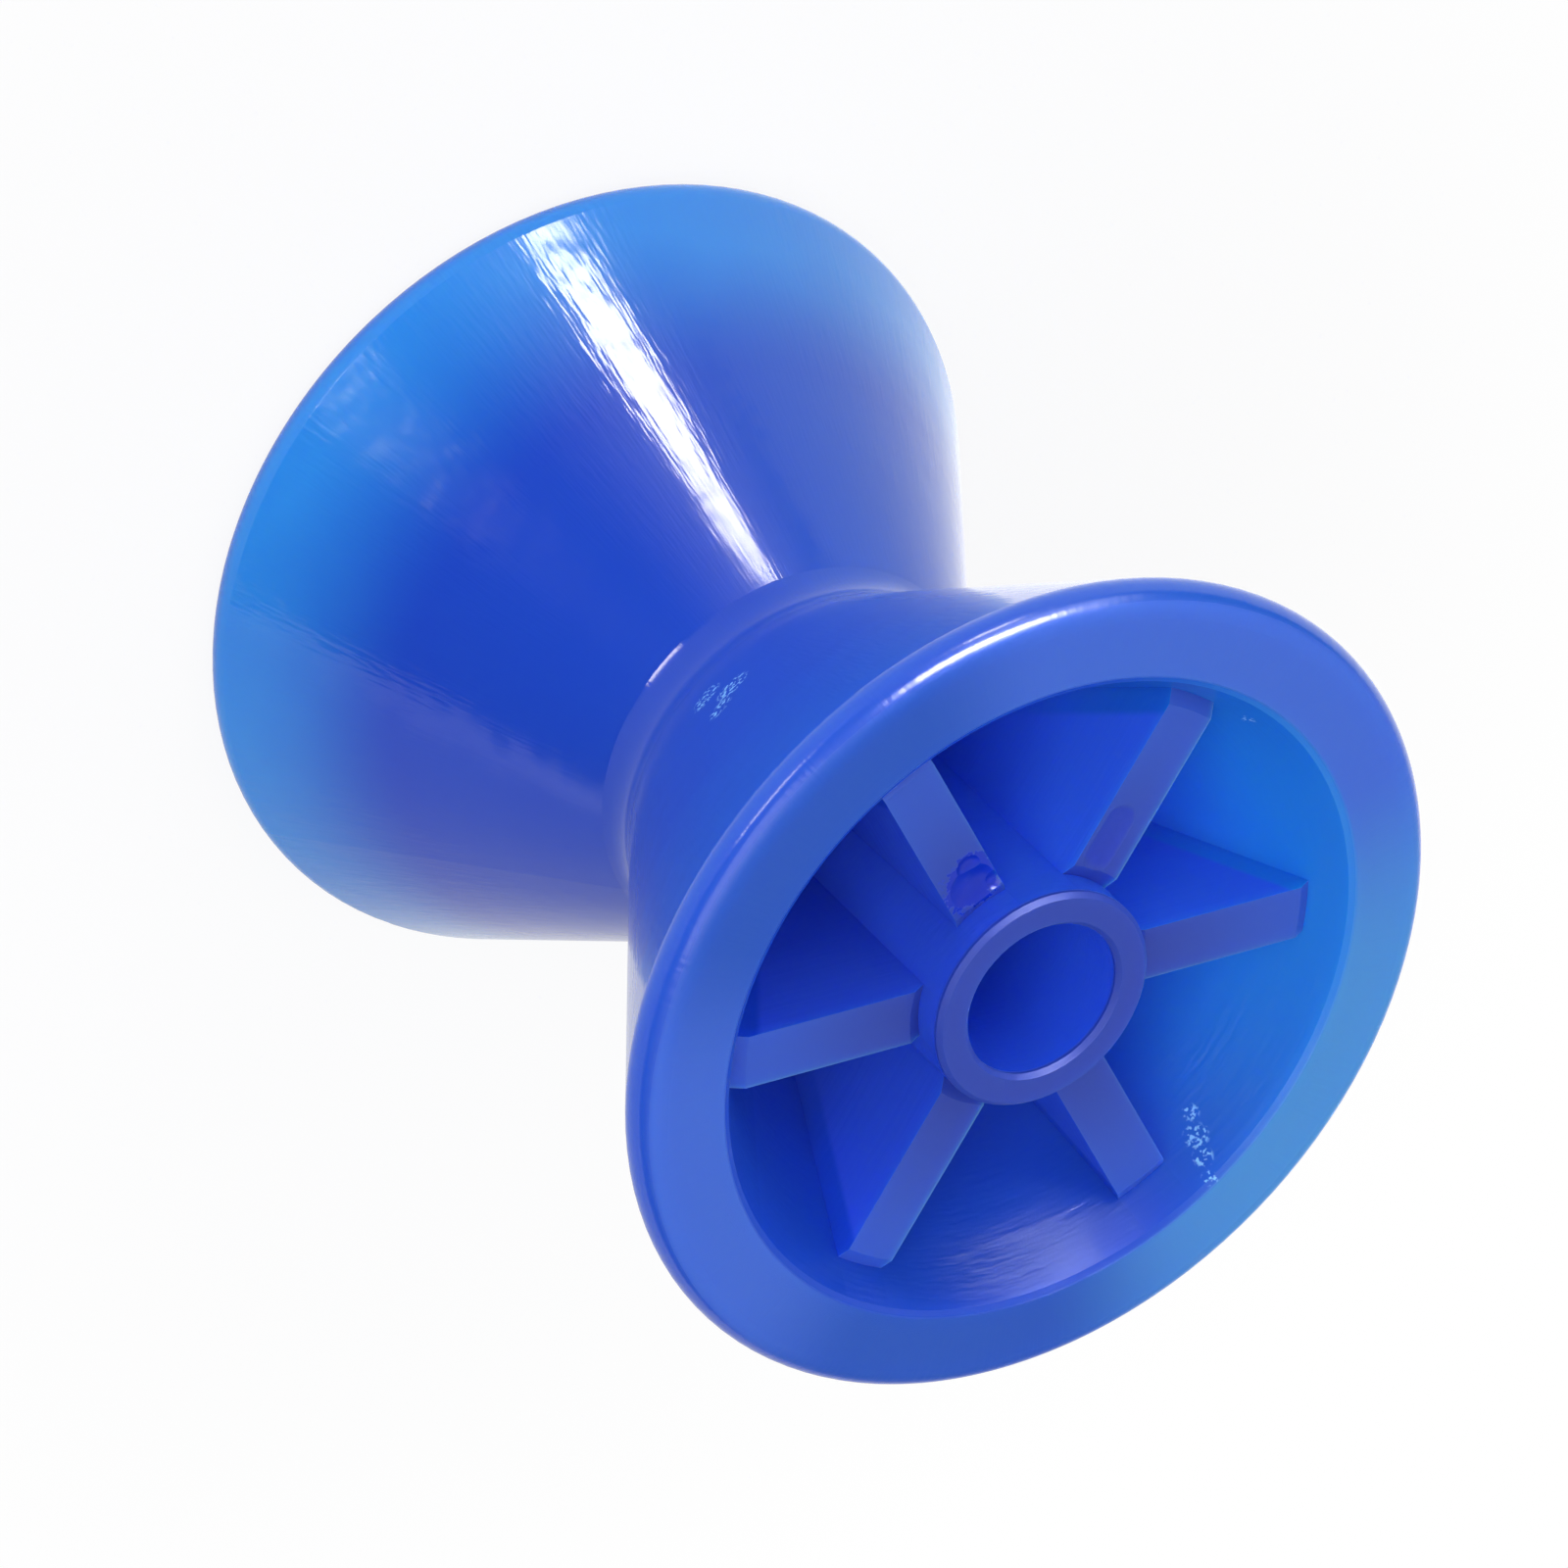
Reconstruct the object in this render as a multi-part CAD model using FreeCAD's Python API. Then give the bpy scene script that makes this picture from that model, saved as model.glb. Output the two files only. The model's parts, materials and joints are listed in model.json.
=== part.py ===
"""Boat trailer bow roller, moulded in one piece.

Two hollow flares meet at a narrow waist. A hub tube runs along the axis from end to end, and
radial ribs join it to the inside of each flare. The roller turns on a pin through the hub.
The roller stands on one end: +Z runs along the hub, and the origin is the middle of the bore.
Lengths are in millimetres and angles in degrees.
"""
import FreeCAD, Part
import math
import os

# Outside of the roller.
FLARE_DIAMETER = 76.0
ROLLER_LENGTH = 80.0
WAIST_DIAMETER = 35.8
WAIST_FILLET = 5.0
RIM_CORNER = 2.3

# Flared wall, measured square to its cone.
WALL_THICKNESS = 8.3

# Hub tube and the bore for the pin.
BORE_DIAMETER = 14.3
HUB_WALL = 3.0
HUB_RECESS = 0.5

# Radial ribs in each end, and the pockets that they leave.
RIB_COUNT = 6
RIB_THICKNESS = 5.0
RIB_RECESS = 3.0
RIB_END_BEVEL = 1.2
RIB_END_DROP = 0.7
POCKET_FLOOR_WIDTH = 3.0

# Taper that lets the hub and the ribs leave the mould.
DRAFT_ANGLE = 1.0

# Torn pit where the moulding was broken off its feed, at the hub end of one rib of the upper end.
# Each hollow is a ball pressed into the rib's top: (from the axis, across the rib, ball radius, depth).
PIT_RIB_ANGLE = -90.0
PIT_HOLLOWS = [
    (13.2, -0.2, 4.0, 0.60),
    (15.2, -0.7, 1.5, 0.50),
    (12.3, -1.9, 1.2, 0.45),
]

# Shallow sunk patch on the next rib, with a thin lip along one edge of the rib.
SINK_RIB_ANGLE = -150.0
SINK_START = 12.6
SINK_END = 16.0
SINK_ACROSS = 0.6
SINK_BALL_RADIUS = 4.0
SINK_DEPTH = 0.3

# How far the shapes that press these marks rise above the rib tops, so that they miss the hub.
MARK_RISE = 0.2

# Small bevel along the edges at the mouths of the bore and the cavities.
EDGE_BEVEL = 0.4

# How far a cutting shape runs past the surface that it cuts.
CUT_MARGIN = 2.0

AXIS_START = FreeCAD.Vector(0, 0, 0)
AXIS = FreeCAD.Vector(0, 0, 1)

RIM_RADIUS = FLARE_DIAMETER / 2
RIM_FACE_Z = ROLLER_LENGTH / 2
HUB_FACE_Z = RIM_FACE_Z - HUB_RECESS
RIB_TOP_Z = RIM_FACE_Z - RIB_RECESS
RIB_END_Z = RIB_TOP_Z - RIB_END_DROP
BORE_RADIUS = BORE_DIAMETER / 2
HUB_FACE_RADIUS = BORE_RADIUS + HUB_WALL
DRAFT_SLOPE = math.tan(math.radians(DRAFT_ANGLE))


def cone_angle():
    """Half angle of each flare: the line that touches both the waist fillet and the rim corner."""
    rise = (RIM_RADIUS - RIM_CORNER) - (WAIST_DIAMETER / 2 + WAIST_FILLET)
    run = RIM_FACE_Z - RIM_CORNER
    span = math.hypot(rise, run)
    return math.atan2(rise, run) + math.asin((WAIST_FILLET + RIM_CORNER) / span)


CONE_ANGLE = cone_angle()
CONE_SLOPE = math.tan(CONE_ANGLE)
CONE_RADIUS_AT_WAIST = WAIST_DIAMETER / 2 + WAIST_FILLET - WAIST_FILLET / math.cos(CONE_ANGLE)


def outer_radius(z):
    """Radius of the outer cone at height z above the waist."""
    return CONE_RADIUS_AT_WAIST + z * CONE_SLOPE


def cavity_radius(z):
    """Radius of the cavity wall, which runs parallel to the outer cone."""
    return outer_radius(z) - WALL_THICKNESS / math.cos(CONE_ANGLE)


def hub_radius(z):
    """Outer radius of the drafted hub tube, which thickens away from its face."""
    return HUB_FACE_RADIUS + (HUB_FACE_Z - z) * DRAFT_SLOPE


def pocket_floor_z():
    """Height at which the gap between the hub and the cavity wall has narrowed to the floor's width."""
    gap_at_face = cavity_radius(HUB_FACE_Z) - HUB_FACE_RADIUS
    return HUB_FACE_Z - (gap_at_face - POCKET_FLOOR_WIDTH) / (CONE_SLOPE + DRAFT_SLOPE)


def point(r, z):
    return FreeCAD.Vector(r, 0, z)


def rounded_wire(corners):
    """Closed outline through (radius, height, rounding) corners, with an arc at each rounded one."""
    edges = []
    stations = []
    for i, (r, z, rounding) in enumerate(corners):
        here = point(r, z)
        before = point(*corners[i - 1][:2]) - here
        after = point(*corners[(i + 1) % len(corners)][:2]) - here
        if rounding == 0:
            stations.append((here, None, here))
            continue
        before.normalize()
        after.normalize()
        half_angle = before.getAngle(after) / 2
        setback = rounding / math.tan(half_angle)
        middle = (before + after).normalize() * (rounding / math.sin(half_angle) - rounding)
        stations.append((here + before * setback, here + middle, here + after * setback))
    for i, (arc_start, arc_middle, arc_end) in enumerate(stations):
        if arc_middle is not None:
            edges.append(Part.Arc(arc_start, arc_middle, arc_end).toShape())
        next_start = stations[(i + 1) % len(stations)][0]
        edges.append(Part.LineSegment(arc_end, next_start).toShape())
    return Part.Wire(edges)


def revolved(corners):
    return Part.Face(rounded_wire(corners)).revolve(AXIS_START, AXIS, 360)


def turned_body():
    """Both flares, the hub and the shallow ring over the rib tops, with no pockets yet."""
    end = [
        (BORE_RADIUS, HUB_FACE_Z - EDGE_BEVEL, 0),
        (BORE_RADIUS + EDGE_BEVEL, HUB_FACE_Z, 0),
        (HUB_FACE_RADIUS - EDGE_BEVEL, HUB_FACE_Z, 0),
        (hub_radius(HUB_FACE_Z - EDGE_BEVEL), HUB_FACE_Z - EDGE_BEVEL, 0),
        (hub_radius(RIB_END_Z), RIB_END_Z, 0),
        (hub_radius(RIB_END_Z) + RIB_END_BEVEL, RIB_TOP_Z, 0),
        (cavity_radius(RIB_END_Z) - RIB_END_BEVEL, RIB_TOP_Z, 0),
        (cavity_radius(RIB_END_Z), RIB_END_Z, 0),
        (cavity_radius(RIM_FACE_Z - EDGE_BEVEL), RIM_FACE_Z - EDGE_BEVEL, 0),
        (cavity_radius(RIM_FACE_Z) + EDGE_BEVEL, RIM_FACE_Z, 0),
        (outer_radius(RIM_FACE_Z), RIM_FACE_Z, RIM_CORNER),
    ]
    waist = [(CONE_RADIUS_AT_WAIST, 0, WAIST_FILLET)]
    other_end = [(r, -z, rounding) for r, z, rounding in reversed(end)]
    return revolved(end + waist + other_end)


def rib():
    """One rib as a long bar with drafted sides, from inside the hub to beyond the cavity wall."""
    foot_z = 0
    top_half = RIB_THICKNESS / 2
    foot_half = top_half + (RIB_TOP_Z - foot_z) * DRAFT_SLOPE
    above_z = RIM_FACE_Z + CUT_MARGIN
    above_half = top_half - (above_z - RIB_TOP_Z) * DRAFT_SLOPE
    section = Part.makePolygon([
        FreeCAD.Vector(BORE_RADIUS, -foot_half, foot_z),
        FreeCAD.Vector(BORE_RADIUS, foot_half, foot_z),
        FreeCAD.Vector(BORE_RADIUS, above_half, above_z),
        FreeCAD.Vector(BORE_RADIUS, -above_half, above_z),
        FreeCAD.Vector(BORE_RADIUS, -foot_half, foot_z),
    ])
    reach = outer_radius(above_z) - BORE_RADIUS
    return Part.Face(section).extrude(FreeCAD.Vector(reach, 0, 0))


def pockets():
    """The spaces between the ribs of the upper end: a tapering ring less the ribs."""
    floor_z = pocket_floor_z()
    above_z = RIM_FACE_Z + CUT_MARGIN
    ring = revolved([
        (hub_radius(above_z), above_z, 0),
        (hub_radius(floor_z), floor_z, 0),
        (cavity_radius(floor_z), floor_z, 0),
        (cavity_radius(above_z), above_z, 0),
    ])
    step = 360 / RIB_COUNT
    ribs = [rib().rotated(AXIS_START, AXIS, (i + 0.5) * step) for i in range(RIB_COUNT)]
    return ring.cut(ribs).Solids


def ball_centre(along, across, radius, depth):
    """Middle of a ball that dents the top of a rib lying along +X to the given depth."""
    return FreeCAD.Vector(along, across, RIB_TOP_Z - depth + radius)


def pressed_into_rib(balls, rib_angle):
    """Turns the joined shapes to their rib and keeps only what lies near the rib's top."""
    shapes = balls[0].fuse(balls[1:])
    height = RIM_FACE_Z - pocket_floor_z()
    slab_start = FreeCAD.Vector(0, 0, RIB_TOP_Z + MARK_RISE - height)
    slab = Part.makeCylinder(RIM_RADIUS, height, slab_start, AXIS)
    return shapes.common(slab).rotated(AXIS_START, AXIS, rib_angle)


def feed_pit():
    """The torn pit: hollows that run into one another."""
    balls = []
    for along, across, radius, depth in PIT_HOLLOWS:
        centre = ball_centre(along, across, radius, depth)
        balls.append(Part.makeSphere(radius, centre, FreeCAD.Vector(1, 0, 0)))
    return pressed_into_rib(balls, PIT_RIB_ANGLE)


def sunk_patch():
    """A long shallow hollow with round ends."""
    along_rib = FreeCAD.Vector(1, 0, 0)
    start = ball_centre(SINK_START, SINK_ACROSS, SINK_BALL_RADIUS, SINK_DEPTH)
    end = ball_centre(SINK_END, SINK_ACROSS, SINK_BALL_RADIUS, SINK_DEPTH)
    middle = Part.makeCylinder(SINK_BALL_RADIUS, SINK_END - SINK_START, start, along_rib)
    ends = [Part.makeSphere(SINK_BALL_RADIUS, centre, along_rib) for centre in (start, end)]
    return pressed_into_rib([middle] + ends, SINK_RIB_ANGLE)


def roller():
    upper = pockets()
    lower = [cell.mirror(AXIS_START, AXIS) for cell in upper]
    body = turned_body().cut(upper + lower)
    body = body.cut([feed_pit(), sunk_patch()])
    return body.Solids[0]


os.makedirs("parts", exist_ok=True)
shape = roller()
shape.exportStep("parts/roller.step")
print("valid:", shape.isValid(), "faces:", len(shape.Faces), "volume cm3:", round(shape.Volume / 1000, 2))
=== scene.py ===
# Looks of the boat trailer roller: one moulding of clear blue urethane, standing on its end.
import json
import math

import bpy
from mathutils import Matrix, Vector

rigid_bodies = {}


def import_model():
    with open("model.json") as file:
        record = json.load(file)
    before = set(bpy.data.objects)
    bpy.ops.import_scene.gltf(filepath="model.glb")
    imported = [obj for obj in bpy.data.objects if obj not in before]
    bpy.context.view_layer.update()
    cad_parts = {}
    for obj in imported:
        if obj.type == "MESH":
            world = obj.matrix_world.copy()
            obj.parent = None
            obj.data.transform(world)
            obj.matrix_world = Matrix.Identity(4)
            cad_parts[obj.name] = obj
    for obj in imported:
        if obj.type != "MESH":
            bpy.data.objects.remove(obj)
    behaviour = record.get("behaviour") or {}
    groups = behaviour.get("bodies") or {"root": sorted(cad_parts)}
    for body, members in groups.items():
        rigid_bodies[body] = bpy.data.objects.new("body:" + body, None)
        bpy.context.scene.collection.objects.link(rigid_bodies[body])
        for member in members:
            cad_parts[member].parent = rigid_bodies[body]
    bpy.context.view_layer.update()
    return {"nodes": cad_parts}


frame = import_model()

# The roller's own sizes, in metres, as the solid has them.
FLARE_RADIUS = 0.038
HALF_LENGTH = 0.040
CONE_SLOPE = 0.5616

# Colours of the urethane, in linear light.
DEEP_BLUE = (0.0095, 0.056, 0.475)
UPPER_SHEEN_BLUE = (0.0180, 0.076, 0.530)
RIM_GLOW_BLUE = (0.0230, 0.228, 0.680)
WALL_BLUE = (0.0120, 0.074, 0.560)
BACKLIT_WALL_BLUE = (0.0190, 0.236, 0.760)
POCKET_BLUE = (0.0340, 0.106, 0.680)
BACKLIT_POCKET_BLUE = (0.0410, 0.158, 0.840)
BORE_BLUE = (0.0300, 0.120, 0.800)
FACE_BLUE = (0.0100, 0.088, 0.500)
LIT_FACE_BLUE = (0.0470, 0.145, 0.650)
BACKLIT_FACE_BLUE = (0.0620, 0.290, 0.670)
DULL_BLUE = (0.0230, 0.057, 0.380)
DULL_EDGE_BLUE = (0.0290, 0.098, 0.545)
PIT_SHADE_BLUE = (0.0010, 0.027, 0.500)
HIGHLIGHT_SPECK_BLUE = (0.2600, 0.600, 0.950)
WHITE = (1.0, 1.0, 1.0, 1.0)

# Where the kinds of surface lie, in metres. Each is absent at the first value and full at the second.
# Heights are from the middle of the roller, radii from its axis, depths from the outer skin inwards.
CAVITY_DEPTH = (0.0060, 0.0080)
POCKET_HEIGHT = (0.016, 0.034)
POCKET_DEPTH = (0.0108, 0.0099)
BORE_RADIUS = (0.0078, 0.0074)
RIM_FACE_HEIGHT = (0.0393, 0.0397)
RIM_FACE_RADIUS = (0.0302, 0.0307)
HUB_FACE_HEIGHT = (0.0386, 0.0390)
HUB_FACE_RADIUS = (0.0118, 0.0112)
RIB_TOP_LOW = (0.0353, 0.0358)
RIB_TOP_HIGH = (0.0378, 0.0374)
WORN_RIM_HEIGHT = (0.0360, 0.0380)
UPPER_SKIN_HEIGHT = (-0.010, 0.010)

# How level a face is, as the upward part of its normal.
LEVEL_FACE = (0.52, 0.68)

# The skin is painted azure towards a rim, as light glowing through it, less at its very corner and less on
# the upper flare.
EDGE_HEIGHT = (0.020, 0.037)
EDGE_CORNER_HEIGHT = (0.0370, 0.0388)
EDGE_CORNER_LOSS = 0.55
UPPER_EDGE_HEIGHT = (0.010, 0.030)
UPPER_EDGE_LOSS = 0.85
EDGE_LEAST = 0.80
EDGE_CLOUD = 0.40
BACKLIT_EDGE = 0.20

# Sides painted lighter, as light shining through the urethane or, on the face, falling on it: azimuth in
# degrees, then the cosines of the angle from it at which the painted light begins and is full.
BACKLIT_EDGE_SIDE = (175.0, 0.00, 0.90)
BACKLIT_WALL_SIDE = (162.0, 0.20, 1.00)
BACKLIT_POCKET_SIDE = (190.0, 0.00, 0.80)
BACKLIT_FACE_SIDE = (120.0, 0.55, 1.00)
LIT_FACE_SIDE = (170.0, -0.12, 0.28)
LIT_FACE_SPOT = (-12.0, 0.72, 0.97)
RIM_FACE_SHARE = 0.95

# Hub ends and rib tops turn from a dull to a lighter blue between these radii.
DULL_RADIUS = (0.0110, 0.0280)

# The torn pit on one rib and the sunk patch on the next, both painted dark blue as shade in their hollows:
# middle, reach, and the shares of the reach at which the mark begins and is full. The pit's edge is ragged.
MARK_LOW = (0.0350, 0.0355)
PIT_MIDDLE = (-0.0004, -0.0136)
PIT_REACH = 0.0027
PIT_EDGE = (1.1, 0.95)
PIT_RAGGEDNESS = 1.2
PATCH_MIDDLE = (-0.0124, -0.0076)
PATCH_REACH = 0.0030
PATCH_EDGE = (1.1, 0.8)
PATCH_HIGH = (0.03699, 0.03690)
PATCH_SHARE = 0.45

# Small specks on the inner wall and beside the waist, painted pale as highlights: place and reach.
HIGHLIGHT_SPECKS = [
    ((-0.0069, 0.0261, 0.0353), 0.0010),
    ((-0.0060, 0.0272, 0.0368), 0.0014),
    ((-0.0053, 0.0283, 0.0382), 0.0011),
    ((-0.0047, 0.0297, 0.0394), 0.0009),
    ((-0.0267, -0.0084, 0.0372), 0.0010),
    ((0.0053, -0.0208, 0.0077), 0.0018),
    ((0.0036, -0.0232, 0.0111), 0.0020),
    ((0.0057, -0.0238, 0.0131), 0.0015),
]
HIGHLIGHT_SPECK_FULL = 0.6
HIGHLIGHT_SPECK_GRAIN = (0.49, 0.64)

# Noise patterns, per metre, and the shares that tear the pit's edge.
CLOUD_SCALE = 80.0
RIPPLE_SCALE = 260.0
TEAR_SCALE = 900.0
GRAIN_SCALE = 2600.0
TEAR_SHARE = 0.4
GRAIN_SHARE = 0.6

# Roughness of the gloss, and what each kind of surface adds to it.
GLOSS_ROUGHNESS = 0.08
CLOUD_ROUGHNESS = 0.05
WORN_RIM_ROUGHNESS = 0.08
RIM_FACE_ROUGHNESS = 0.20
CAVITY_ROUGHNESS = 0.12
DULL_ROUGHNESS = 0.42

# Hair lines: how fast their pattern changes round the axis and along it, outside and in a cavity,
# and how strong they are at the waist and above it.
HAIR_SCALE = 2200.0
HAIR_ROUGHNESS = 0.6
HAIR_ACROSS = 0.030
HAIR_ACROSS_IN_CAVITY = 0.003
HAIR_ALONG = 0.15
HAIR_ALONG_IN_CAVITY = 1.0
HAIR_HEIGHT = (0.004, 0.030)
WAIST_HAIR = 0.45
FLARE_HAIR = 0.75
PLAIN_RIPPLE = 0.45
RELIEF_STRENGTH = 0.12
RELIEF_DEPTH = 0.0004

# Where the camera stands, in metres and degrees.
CAMERA_PLACE = Vector((0.078314, -0.401778, 0.425726))
CAMERA_AIM = Vector((0.002037, 0.000054, -0.000314))
CAMERA_ROLL = -133.986
CAMERA_LENS = 157.13
CAMERA_SENSOR = 36.0
CAMERA_CLIP_START = 0.01
CAMERA_CLIP_END = 50.0

# The lamps: azimuth and elevation from the roller in degrees, distance, width and height in metres,
# and brightness. The window lays the long streak on the far flare, the main light is the large soft one,
# the side light shines through the near flare's wall and isn't mirrored, the low card ends the pale
# reflection of the table, and the small light dots the waist.
LAMP_AIM = Vector((0.0, 0.0, -0.020))
WINDOW_AZIMUTH = -128.5
WINDOW_ELEVATION = 4.5
LAMPS = {
    "window": (WINDOW_AZIMUTH, WINDOW_ELEVATION, 1.5, 0.29, 0.12, 34.0),
    "main_light": (-50.0, 50.0, 1.3, 1.00, 1.00, 2.2),
    "side_light": (120.0, 12.0, 1.2, 0.80, 0.46, 4.0),
    "table_card": (24.0, 0.45, 1.2, 1.90, 0.057, 1.0),
    "small_light": (-70.0, 2.2, 1.5, 0.52, 0.12, 20.0),
}
UNMIRRORED_LAMP = "side_light"

# The air of the room: a dim glow all round, one round the window and one from the ceiling.
ROOM_GLOW = 0.12
WINDOW_GLOW = 1.7
WINDOW_GLOW_POWER = 12.0
CEILING_GLOW = 0.55
CEILING_HEIGHT = (0.15, 0.60)

# Soft glows that only gloss sees, the first for the pale patch in the cavity and the second for the
# highlight on the near rim: azimuth in degrees, the cosines of the angle from it at which the glow
# begins and is full, the upward parts of the way at which it begins and is full, and brightness.
# Both end at the same height. The level length's start is a little over 1, so that a way straight
# up still has a length to divide by.
GLOSS_GLOWS = [
    (-144.0, (0.89, 0.97), (0.13, 0.20), 3.6),
    (-131.0, (0.90, 0.97), (0.42, 0.48), 50.0),
]
GLOSS_GLOW_TOP = (0.74, 0.66)
LEVEL_LENGTH_START = 1.01

# The floor: its matt white, the share of it that the camera sees as glow near the roller, the glow that
# gloss sees, brighter on one side, and the distances over which the camera's glow becomes full.
FLOOR_RADIUS = 4.0
FLOOR_CORNERS = 128
FLOOR_WHITE = (0.92, 0.92, 0.92, 1.0)
FLOOR_GLOW = 0.88
FLOOR_FADE = (0.075, 0.150)
MIRRORED_GLOW = 0.82
BRIGHT_SIDE = (165.0, 0.0, 0.9)
BRIGHT_SIDE_GLOW = 0.45

# Places of the Mix node's colour sockets and of its colour result, whose names repeat in it.
MIX_FACTOR = 0
MIX_FIRST = 6
MIX_SECOND = 7
MIX_RESULT = 2


def heading(azimuth, elevation):
    """Unit vector towards an azimuth and elevation given in degrees."""
    a = math.radians(azimuth)
    e = math.radians(elevation)
    return Vector((math.cos(a) * math.cos(e), math.sin(a) * math.cos(e), math.sin(e)))


class Socket:
    """One output in a node tree, with the sums that a finish needs."""

    def __init__(self, tree, output):
        self.tree = tree
        self.output = output

    def maths(self, operation, *values):
        return self.tree.add("ShaderNodeMath", dict(operation=operation), dict(enumerate(values)))

    def __add__(self, other):
        return self.maths("ADD", self, other)

    def __radd__(self, other):
        return self.maths("ADD", other, self)

    def __sub__(self, other):
        return self.maths("SUBTRACT", self, other)

    def __rsub__(self, other):
        return self.maths("SUBTRACT", other, self)

    def __mul__(self, other):
        return self.maths("MULTIPLY", self, other)

    def __rmul__(self, other):
        return self.maths("MULTIPLY", other, self)

    def __truediv__(self, other):
        return self.maths("DIVIDE", self, other)

    def __pow__(self, other):
        return self.maths("POWER", self, other)

    def least(self, other):
        return self.maths("MINIMUM", self, other)

    def most(self, other):
        return self.maths("MAXIMUM", self, other)

    def size(self):
        return self.maths("ABSOLUTE", self)

    def hypot(self, other):
        return (self * self + other * other) ** 0.5

    def rise(self, low, high):
        """0 below low, 1 above high, and smooth between; low above high turns it round."""
        return self.tree.add(
            "ShaderNodeMapRange",
            dict(interpolation_type="SMOOTHSTEP", clamp=True),
            {"Value": self, "From Min": low, "From Max": high, "To Min": 0.0, "To Max": 1.0},
        )


class Tree:
    """A node tree that is written as expressions."""

    def __init__(self, owner):
        owner.use_nodes = True
        self.nodes = owner.node_tree.nodes
        self.links = owner.node_tree.links
        self.nodes.clear()

    def add(self, kind, settings=None, sockets=None, output=0):
        """Adds a node: its settings first, then the values or links of its sockets."""
        node = self.nodes.new(kind)
        for name, value in (settings or {}).items():
            setattr(node, name, value)
        for name, value in (sockets or {}).items():
            if isinstance(value, Socket):
                self.links.new(value.output, node.inputs[name])
            else:
                node.inputs[name].default_value = value
        return Socket(self, node.outputs[output]) if len(node.outputs) else None

    def split(self, vector):
        first = self.add("ShaderNodeSeparateXYZ", None, {"Vector": vector})
        node = first.output.node
        return tuple(Socket(self, node.outputs[axis]) for axis in "XYZ")

    def vector_maths(self, operation, first, second):
        """A Vector Math node whose result is a number."""
        return self.add("ShaderNodeVectorMath", dict(operation=operation), {0: first, 1: second}, "Value")

    def blend_colour(self, factor, first, second):
        settings = dict(data_type="RGBA", blend_type="MIX", clamp_factor=True)
        sockets = {MIX_FACTOR: factor, MIX_FIRST: self.colour(first), MIX_SECOND: self.colour(second)}
        return self.add("ShaderNodeMix", settings, sockets, MIX_RESULT)

    @staticmethod
    def colour(value):
        return value if isinstance(value, Socket) else (*value, 1.0)

    def noise(self, vector, scale, detail=1.0, roughness=0.5):
        sockets = {"Vector": vector, "Scale": scale, "Detail": detail, "Roughness": roughness}
        return self.add("ShaderNodeTexNoise", None, sockets)

    def light_path(self, *names):
        """1 for the rays that are named."""
        path = self.add("ShaderNodeLightPath").output.node
        total = Socket(self, path.outputs[names[0]])
        for name in names[1:]:
            total = total.most(Socket(self, path.outputs[name]))
        return total


def on_side(x, y, radius, side):
    """1 where the azimuth is near the side's own, 0 where it is far from it."""
    azimuth, low, high = side
    way = heading(azimuth, 0.0)
    return ((x * way.x + y * way.y) / radius).rise(low, high)


class Skin:
    """The roller's surface in a node tree: where its points lie, and the patterns that they share."""

    def __init__(self, tree):
        self.tree = tree
        self.place = tree.add("ShaderNodeTexCoord", output="Object")
        self.x, self.y, self.z = tree.split(self.place)
        _, _, face_up = tree.split(tree.add("ShaderNodeTexCoord", output="Normal"))
        self.height = self.z.size()
        self.radius = self.x.hypot(self.y)
        outer_radius = FLARE_RADIUS - (HALF_LENGTH - self.height) * CONE_SLOPE
        self.depth = outer_radius - self.radius
        self.cavity = self.depth.rise(*CAVITY_DEPTH)
        self.level = face_up.size().rise(*LEVEL_FACE)
        self.rim_face = self.height.rise(*RIM_FACE_HEIGHT) * self.radius.rise(*RIM_FACE_RADIUS)
        self.cloud = tree.noise(self.place, CLOUD_SCALE)
        self.ripple = tree.noise(self.place, RIPPLE_SCALE)
        self.grain = tree.noise(self.place, GRAIN_SCALE)
        self.pit_shade = self.shaded_pit()
        self.dull = self.dull_faces()

    def on_side(self, side):
        return on_side(self.x, self.y, self.radius, side)

    def distance(self, middle):
        """How far a point lies from a spot on an end, seen along the axis."""
        return (self.x - middle[0]).hypot(self.y - middle[1])

    def shaded_pit(self):
        """Where the pit and the ground round it are painted dark as shade, with a ragged edge."""
        tear = self.tree.noise(self.place, TEAR_SCALE, 0.0)
        ragged = GRAIN_SHARE * self.grain + TEAR_SHARE * tear
        distance = self.distance(PIT_MIDDLE) + PIT_REACH * PIT_RAGGEDNESS * (ragged - 0.5)
        begins, full = PIT_EDGE
        spot = distance.rise(PIT_REACH * begins, PIT_REACH * full)
        return spot * self.level * self.z.rise(*MARK_LOW) * self.z.rise(*RIB_TOP_HIGH)

    def sunk_patch(self):
        """The sunk patch, below the rib's top only, where part of its shade is painted dark."""
        begins, full = PATCH_EDGE
        spot = self.distance(PATCH_MIDDLE).rise(PATCH_REACH * begins, PATCH_REACH * full)
        return spot * self.level * self.z.rise(*MARK_LOW) * self.z.rise(*PATCH_HIGH)

    def dull_faces(self):
        """Hub ends and rib tops, which the mould left duller."""
        hub_face = self.height.rise(*HUB_FACE_HEIGHT) * self.radius.rise(*HUB_FACE_RADIUS)
        rib_top = self.level * self.cavity * self.height.rise(*RIB_TOP_LOW) * self.height.rise(*RIB_TOP_HIGH)
        return (hub_face + rib_top * (1.0 - self.pit_shade)).least(1.0)

    def painted_highlight_specks(self):
        """Pale specks painted as highlights at these spots."""
        total = 0.0
        for middle, reach in HIGHLIGHT_SPECKS:
            distance = self.tree.vector_maths("DISTANCE", self.place, middle)
            total = total + distance.rise(reach, reach * HIGHLIGHT_SPECK_FULL)
        return total * self.grain.rise(*HIGHLIGHT_SPECK_GRAIN)


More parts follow.
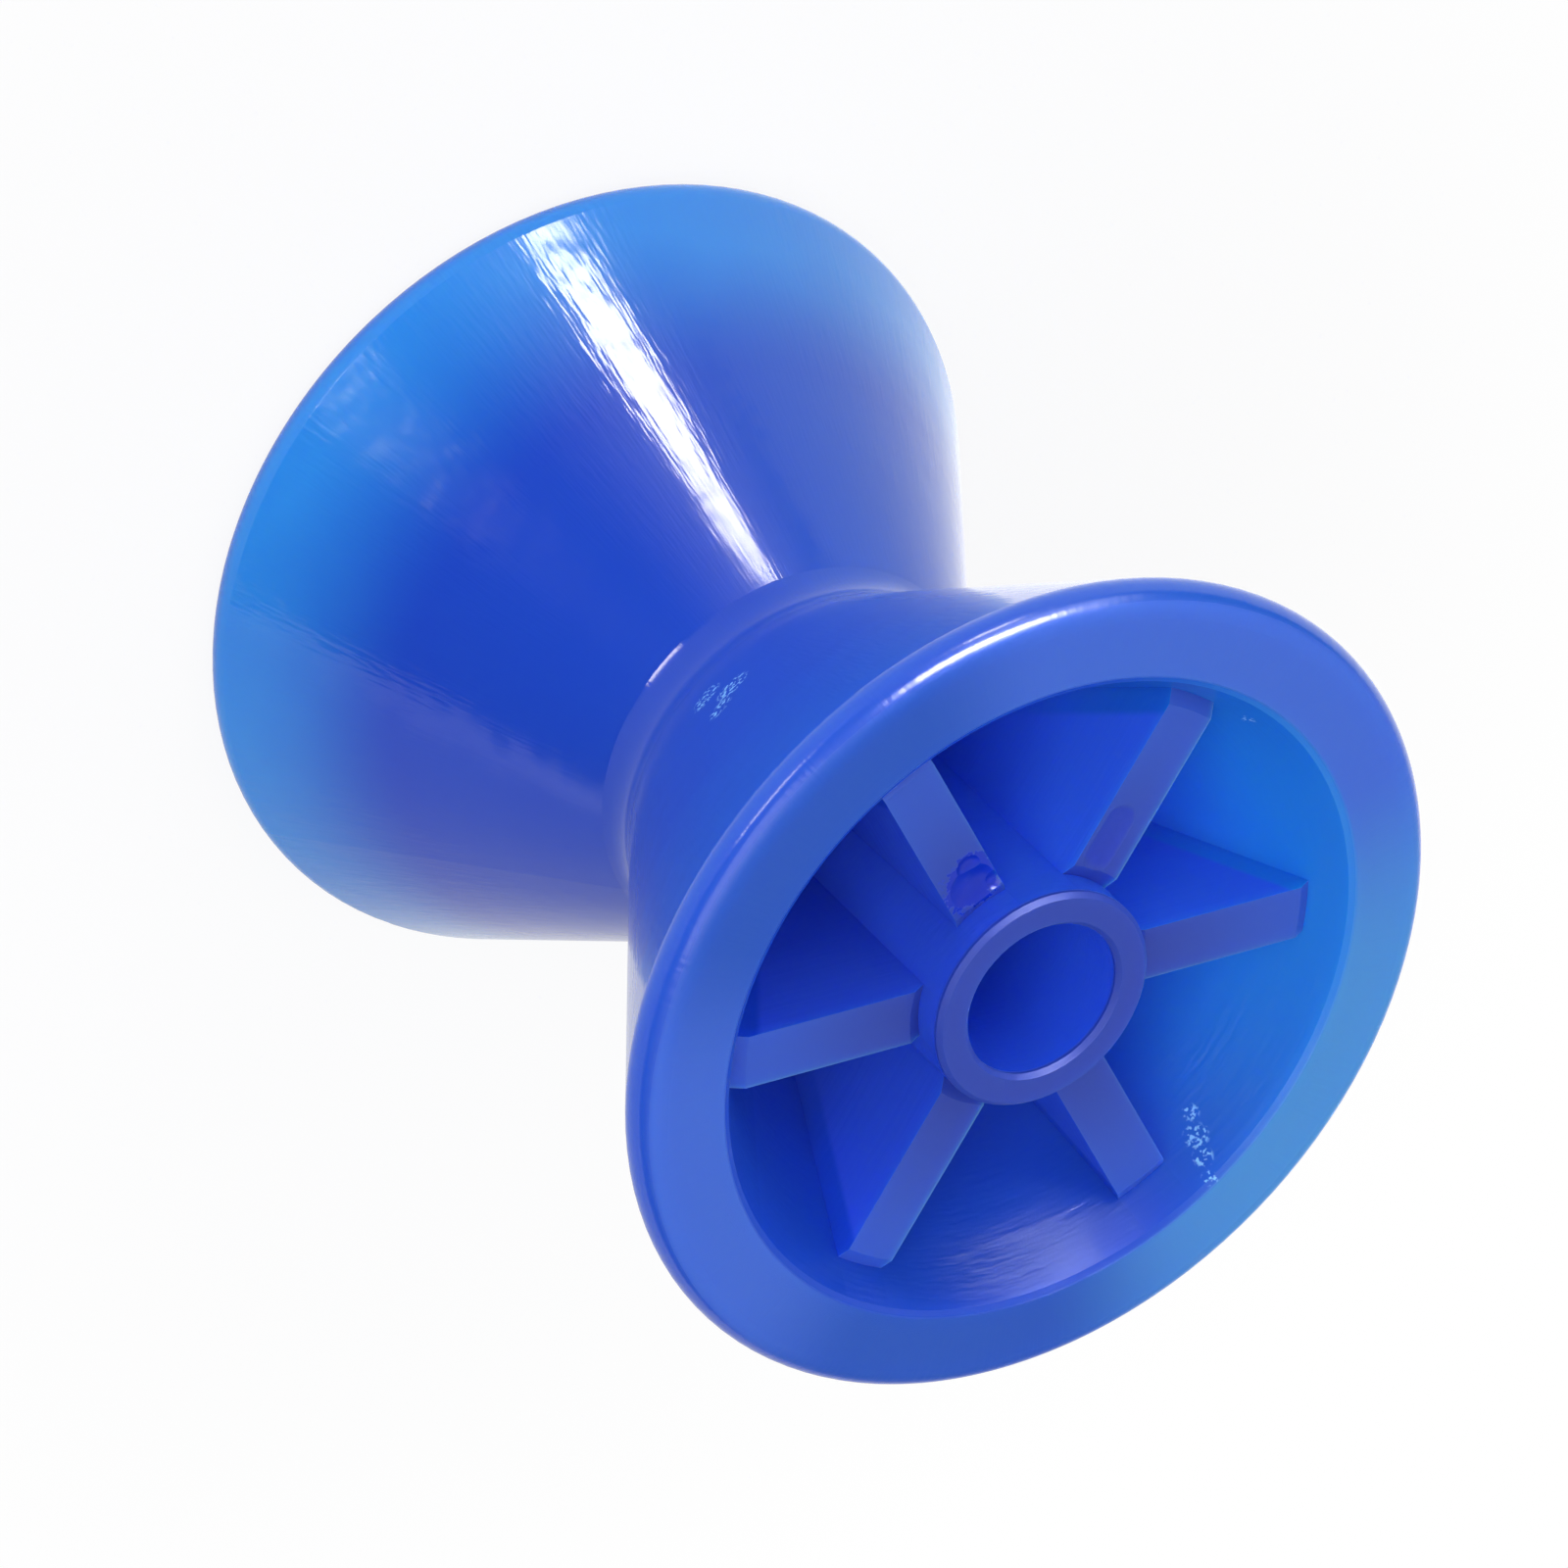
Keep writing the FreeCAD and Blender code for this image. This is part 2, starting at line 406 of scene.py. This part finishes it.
def outer_colour(skin):
    """Deep blue, painted azure towards the rims and on the backlit side as light glowing through, and
    lighter on the upper flare as sheen.
    """
    tree = skin.tree
    rim_glow = skin.height.rise(*EDGE_HEIGHT)
    rim_glow = rim_glow * (1.0 - EDGE_CORNER_LOSS * skin.height.rise(*EDGE_CORNER_HEIGHT))
    rim_glow = rim_glow * (1.0 - UPPER_EDGE_LOSS * skin.z.rise(*UPPER_EDGE_HEIGHT))
    # Azure painted on the backlit side, as light shining through the wall.
    rim_glow = rim_glow + BACKLIT_EDGE * skin.on_side(BACKLIT_EDGE_SIDE)
    # The upper flare's skin is painted lighter, as its milky sheen.
    deep_and_sheen = tree.blend_colour(skin.z.rise(*UPPER_SKIN_HEIGHT), DEEP_BLUE, UPPER_SHEEN_BLUE)
    return tree.blend_colour(rim_glow * (EDGE_LEAST + EDGE_CLOUD * skin.cloud), deep_and_sheen, RIM_GLOW_BLUE)


def cavity_colour(skin):
    """The cavity's wall, the pockets below it and the bore, with light through the wall painted azure on one
    side.
    """
    tree = skin.tree
    wall = tree.blend_colour(skin.on_side(BACKLIT_WALL_SIDE), WALL_BLUE, BACKLIT_WALL_BLUE)
    pocket = tree.blend_colour(skin.on_side(BACKLIT_POCKET_SIDE), POCKET_BLUE, BACKLIT_POCKET_BLUE)
    on_wall = skin.height.rise(*POCKET_HEIGHT) * skin.depth.rise(*POCKET_DEPTH)
    wall = tree.blend_colour(on_wall, pocket, wall)
    return tree.blend_colour(skin.radius.rise(*BORE_RADIUS), wall, BORE_BLUE)


def rim_face_colour(skin):
    tree = skin.tree
    # The rim face is painted lighter on its lit side and spot, and azure on its backlit side.
    lit = skin.on_side(LIT_FACE_SIDE) + skin.on_side(LIT_FACE_SPOT)
    face = tree.blend_colour(lit, FACE_BLUE, LIT_FACE_BLUE)
    return tree.blend_colour(skin.on_side(BACKLIT_FACE_SIDE), face, BACKLIT_FACE_BLUE)


def urethane_colour(skin):
    tree = skin.tree
    colour = tree.blend_colour(skin.cavity, outer_colour(skin), cavity_colour(skin))
    colour = tree.blend_colour(skin.rim_face * RIM_FACE_SHARE, colour, rim_face_colour(skin))
    duller = tree.blend_colour(skin.radius.rise(*DULL_RADIUS), DULL_BLUE, DULL_EDGE_BLUE)
    colour = tree.blend_colour(skin.dull, colour, duller)
    # The pit and the sunk patch are painted dark blue as their shade.
    pit_shades = (skin.pit_shade + skin.sunk_patch() * PATCH_SHARE).least(1.0)
    colour = tree.blend_colour(pit_shades, colour, PIT_SHADE_BLUE)
    # Pale specks painted as highlights.
    return tree.blend_colour(skin.painted_highlight_specks(), colour, HIGHLIGHT_SPECK_BLUE)


def urethane_roughness(skin):
    worn_rim = skin.height.rise(*WORN_RIM_HEIGHT) * (1.0 - skin.cavity)
    roughness = GLOSS_ROUGHNESS + CLOUD_ROUGHNESS * skin.cloud
    roughness = roughness + WORN_RIM_ROUGHNESS * worn_rim + RIM_FACE_ROUGHNESS * skin.rim_face
    return roughness + DULL_ROUGHNESS * skin.dull + CAVITY_ROUGHNESS * skin.cavity * (1.0 - skin.dull)


def urethane_relief(skin):
    """Hair lines that run from rim to waist outside and round the cavities inside."""
    tree = skin.tree
    across = (HAIR_ACROSS - (HAIR_ACROSS - HAIR_ACROSS_IN_CAVITY) * skin.cavity) / skin.radius
    along = HAIR_ALONG + (HAIR_ALONG_IN_CAVITY - HAIR_ALONG) * skin.cavity
    sockets = {"X": skin.x * across, "Y": skin.y * across, "Z": skin.z * along}
    around = tree.add("ShaderNodeCombineXYZ", None, sockets)
    hair = tree.noise(around, HAIR_SCALE, roughness=HAIR_ROUGHNESS)
    strength = WAIST_HAIR + FLARE_HAIR * skin.height.rise(*HAIR_HEIGHT)
    relief = skin.ripple * (PLAIN_RIPPLE + strength * hair)
    sockets = {"Strength": RELIEF_STRENGTH, "Distance": RELIEF_DEPTH, "Height": relief}
    return tree.add("ShaderNodeBump", None, sockets)


def urethane_finish():
    """Glossy clear blue skin, duller moulded end faces, painted lighter azure where light glows through the
    wall.
    """
    material = bpy.data.materials.new("blue_urethane")
    tree = Tree(material)
    skin = Skin(tree)
    shader = tree.add(
        "ShaderNodeBsdfPrincipled",
        None,
        {
            "Base Color": urethane_colour(skin),
            "Roughness": urethane_roughness(skin),
            "IOR": 1.50,
            "Specular IOR Level": 0.40,
            "Subsurface Weight": 0.5,
            "Subsurface Radius": (0.10, 0.40, 1.0),
            "Subsurface Scale": 0.010,
            "Normal": urethane_relief(skin),
        },
    )
    tree.add("ShaderNodeOutputMaterial", None, {"Surface": shader})
    return material


def floor_finish():
    """White floor that keeps the roller's soft shadow."""
    material = bpy.data.materials.new("white_floor")
    material.cycles.emission_sampling = "NONE"
    tree = Tree(material)
    seen = tree.light_path("Is Camera Ray")
    mirrored = tree.light_path("Is Glossy Ray", "Is Transmission Ray")
    x, y, _ = tree.split(tree.add("ShaderNodeTexCoord", output="Object"))
    distance = x.hypot(y)
    matt = tree.add("ShaderNodeBsdfDiffuse", None, {"Color": FLOOR_WHITE})
    bright_side = BRIGHT_SIDE_GLOW * on_side(x, y, distance, BRIGHT_SIDE)
    strength = 1.0 + mirrored * (MIRRORED_GLOW - 1.0 + bright_side)
    glow = tree.add("ShaderNodeEmission", None, {"Color": WHITE, "Strength": strength})
    seen_glow = seen * (FLOOR_GLOW + (1.0 - FLOOR_GLOW) * distance.rise(*FLOOR_FADE))
    mixed = tree.add("ShaderNodeMixShader", None, {0: seen_glow + mirrored, 1: matt, 2: glow})
    tree.add("ShaderNodeOutputMaterial", None, {"Surface": mixed})
    return material


def studio_air():
    """The room's soft glow, and the glows that only gloss sees."""
    world = bpy.data.worlds.new("studio")
    world.cycles.sampling_method = "NONE"
    bpy.context.scene.world = world
    tree = Tree(world)
    way = tree.add("ShaderNodeTexCoord", output="Generated")
    to_window = tuple(heading(WINDOW_AZIMUTH, WINDOW_ELEVATION))
    closeness = tree.vector_maths("DOT_PRODUCT", way, to_window)
    window_glow = WINDOW_GLOW * closeness.most(0.0) ** WINDOW_GLOW_POWER
    _, _, up = tree.split(way)
    ceiling = CEILING_GLOW * up.rise(*CEILING_HEIGHT)
    level_length = (LEVEL_LENGTH_START - up * up) ** 0.5
    gloss_glow = 0.0
    for azimuth, sideways, upward, brightness in GLOSS_GLOWS:
        towards = tree.vector_maths("DOT_PRODUCT", way, tuple(heading(azimuth, 0.0))) / level_length
        gloss_glow = gloss_glow + brightness * towards.rise(*sideways) * up.rise(*upward)
    gloss_glow = gloss_glow * up.rise(*GLOSS_GLOW_TOP) * tree.light_path("Is Glossy Ray")
    strength = ROOM_GLOW + window_glow + ceiling + gloss_glow
    air = tree.add("ShaderNodeBackground", None, {"Color": WHITE, "Strength": strength})
    tree.add("ShaderNodeOutputWorld", None, {"Surface": air})


def soft_lamp(name, azimuth, elevation, distance, width, height, brightness):
    """A rectangular soft lamp that faces the roller; brightness 1 looks white in a mirror."""
    lamp = bpy.data.lights.new(name, "AREA")
    lamp.shape = "RECTANGLE"
    lamp.size = width
    lamp.size_y = height
    lamp.energy = brightness * width * height * math.pi
    holder = bpy.data.objects.new(name, lamp)
    bpy.context.collection.objects.link(holder)
    way = heading(azimuth, elevation)
    holder.location = LAMP_AIM + way * distance
    holder.rotation_mode = "QUATERNION"
    holder.rotation_quaternion = way.to_track_quat("Z", "Y")
    holder.visible_camera = False
    holder.visible_glossy = name != UNMIRRORED_LAMP


def floor():
    """A wide round floor under the roller's lower end."""
    bpy.ops.object.select_all(action="DESELECT")
    bpy.ops.mesh.primitive_circle_add(
        vertices=FLOOR_CORNERS, radius=FLOOR_RADIUS, fill_type="NGON", location=(0.0, 0.0, -HALF_LENGTH)
    )
    ground = bpy.context.object
    ground.name = "floor"
    bpy.ops.object.transform_apply(location=True, rotation=False, scale=False)
    ground.data.materials.append(floor_finish())


def camera():
    """The photograph's view, turned so that the roller's axis runs down to the right."""
    lens = bpy.data.cameras.new("camera")
    lens.lens = CAMERA_LENS
    lens.sensor_width = CAMERA_SENSOR
    lens.clip_start = CAMERA_CLIP_START
    lens.clip_end = CAMERA_CLIP_END
    holder = bpy.data.objects.new("camera", lens)
    bpy.context.collection.objects.link(holder)
    back = (CAMERA_PLACE - CAMERA_AIM).normalized()
    level_up = (Vector((0.0, 0.0, 1.0)) - back * back.z).normalized()
    level_right = level_up.cross(back)
    turn = math.radians(CAMERA_ROLL)
    up = level_up * math.cos(turn) + level_right * math.sin(turn)
    right = up.cross(back)
    matrix = Matrix((right, up, back)).transposed().to_4x4()
    matrix.translation = CAMERA_PLACE
    holder.matrix_world = matrix
    bpy.context.scene.camera = holder


for stray in [o for o in bpy.data.objects if o.name in ("Cube", "Light", "Camera")]:
    bpy.data.objects.remove(stray)

roller = frame["nodes"]["roller"]
roller.material_slots[0].material = urethane_finish()
floor()
studio_air()
for lamp_name, lamp_facts in LAMPS.items():
    soft_lamp(lamp_name, *lamp_facts)
camera()
bpy.context.scene.view_settings.view_transform = "Standard"
